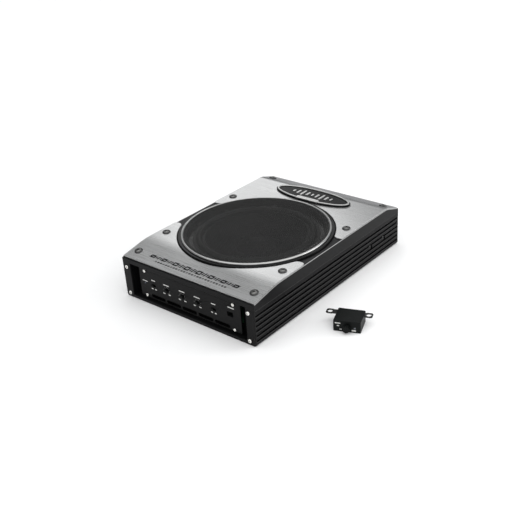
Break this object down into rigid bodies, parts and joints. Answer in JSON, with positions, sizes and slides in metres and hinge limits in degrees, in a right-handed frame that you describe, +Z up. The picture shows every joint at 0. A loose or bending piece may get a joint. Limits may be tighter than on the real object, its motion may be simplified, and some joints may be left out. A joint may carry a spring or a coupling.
{
  "type": "powered car subwoofer",
  "caption": "Slim under-seat powered subwoofer: finned aluminium sides, brushed top plates, domed round grille, recessed control panel, wired remote level control.",
  "frame": {"origin": "centre of the flat underside of the base plate", "axes": "+Z up through the grille; -Y out of the control-panel end, +Y out of the power end; +X right as seen from the control end"},
  "size_m": [0.3474, 0.3686, 0.0833],
  "materials": {
    "black_cover": "satin black paint",
    "black_anodised": "black anodised extrusion",
    "brushed_silver": "brushed",
    "chrome_trim": "polished",
    "bright_screw": "nickel plated",
    "dark_screw": "black nickel",
    "mesh_black": "black powder coat",
    "black_plastic": "moulded",
    "gloss_black": "gloss",
    "steel": "zinc plated",
    "rubber_black": "matt",
    "cone_black": "talc-filled polypropylene",
    "ferrite": "ground ferrite",
    "copper": "enamelled winding",
    "spider_cloth": "resin-dipped cloth",
    "circuit_board": "glass-fibre laminate",
    "capacitor_can": "sleeved can",
    "brass_contact": "plated",
    "blue_lens": "clear lens",
    "white_lens": "clear lens",
    "fuse_orange": "translucent",
    "gasket_foam": "foam strip"
  },
  "bodies": {
    "housing": {"base_plate": "black_cover", "side_rail_left": "black_anodised", "side_rail_right": "black_anodised", "top_cover": "black_cover", "front_frame": "black_cover", "rear_panel": "black_cover", "control_panel": "black_cover", "front_trim_plate": "brushed_silver", "rear_trim_plate": "brushed_silver", "trim_screws": "dark_screw", "trim_washers": "dark_screw", "end_screws": "bright_screw", "control_panel_screws": "bright_screw", "base_screws": "dark_screw", "heat_sink_screws": "dark_screw", "grille_ring": "gloss_black", "trim_ring": "chrome_trim", "grille": "mesh_black", "badge_base": "gloss_black", "badge_rim": "chrome_trim", "woofer_basket": "mesh_black", "woofer_gasket": "gasket_foam", "woofer_screws": "dark_screw", "magnet_front_plate": "steel", "magnet": "ferrite", "yoke": "steel", "speaker_leads": "rubber_black", "surround": "rubber_black", "spider": "spider_cloth", "amp_board": "circuit_board", "toroid": "copper", "capacitors": "capacitor_can", "transistors": "gloss_black", "transistor_clamp": "steel", "control_board": "circuit_board", "potentiometers": "steel", "switch_bodies": "steel", "power_led": "blue_lens", "remote_jack": "black_plastic", "control_harness": "black_plastic", "rear_sockets": "black_plastic", "connector_pins": "brass_contact", "rca_jacks": "brass_contact", "fuse_holder": "black_plastic"},
    "cone_assembly": {"cone": "cone_black", "dust_cap": "cone_black", "voice_coil_former": "capacitor_can", "voice_coil": "copper"},
    "level_control": {"level_knob": "black_plastic"},
    "crossover_control": {"crossover_knob": "black_plastic"},
    "boost_control": {"boost_knob": "black_plastic"},
    "auto_slider": {"auto_switch": "black_plastic"},
    "phase_slider": {"phase_switch": "black_plastic"},
    "blade_fuse": {"fuse": "fuse_orange"},
    "remote_unit": {"remote_case": "black_plastic", "remote_base": "black_plastic", "remote_bracket": "mesh_black", "remote_board": "circuit_board", "remote_led": "white_lens"},
    "remote_control_knob": {"remote_knob": "black_plastic"}
  },
  "joints": [
    {"name": "cone_travel", "type": "slide", "parent": "housing", "child": "cone_assembly", "axis": [0, 0, 1], "range_m": [-0.005, 0.005], "stiffness_N_per_m": 2500, "deforming": ["surround", "spider"]},
    {"name": "level_turn", "type": "hinge", "parent": "housing", "child": "level_control", "pos_m": [-0.043, -0.1746, 0.0305], "axis": [0, 1, 0], "range_deg": [-140, 140]},
    {"name": "crossover_turn", "type": "hinge", "parent": "housing", "child": "crossover_control", "pos_m": [-0.012, -0.1746, 0.0305], "axis": [0, 1, 0], "range_deg": [-140, 140]},
    {"name": "boost_turn", "type": "hinge", "parent": "housing", "child": "boost_control", "pos_m": [0.017, -0.1746, 0.0305], "axis": [0, 1, 0], "range_deg": [-140, 140]},
    {"name": "auto_switch_slide", "type": "slide", "parent": "housing", "child": "auto_slider", "axis": [1, 0, 0], "range_m": [0, 0.004]},
    {"name": "phase_switch_slide", "type": "slide", "parent": "housing", "child": "phase_slider", "axis": [1, 0, 0], "range_m": [0, 0.004]},
    {"name": "fuse_pull", "type": "slide", "parent": "housing", "child": "blade_fuse", "axis": [0, 1, 0], "range_m": [0, 0.02]},
    {"name": "remote_place", "type": "slide", "parent": "housing", "child": "remote_unit", "axis": [1, 0, 0], "range_m": [0, 0.1]},
    {"name": "remote_knob_turn", "type": "hinge", "parent": "remote_unit", "child": "remote_control_knob", "pos_m": [0.20259, -0.08151, 0.007], "axis": [-0.3567, 0.9342, 0], "range_deg": [-140, 140]}
  ]
}
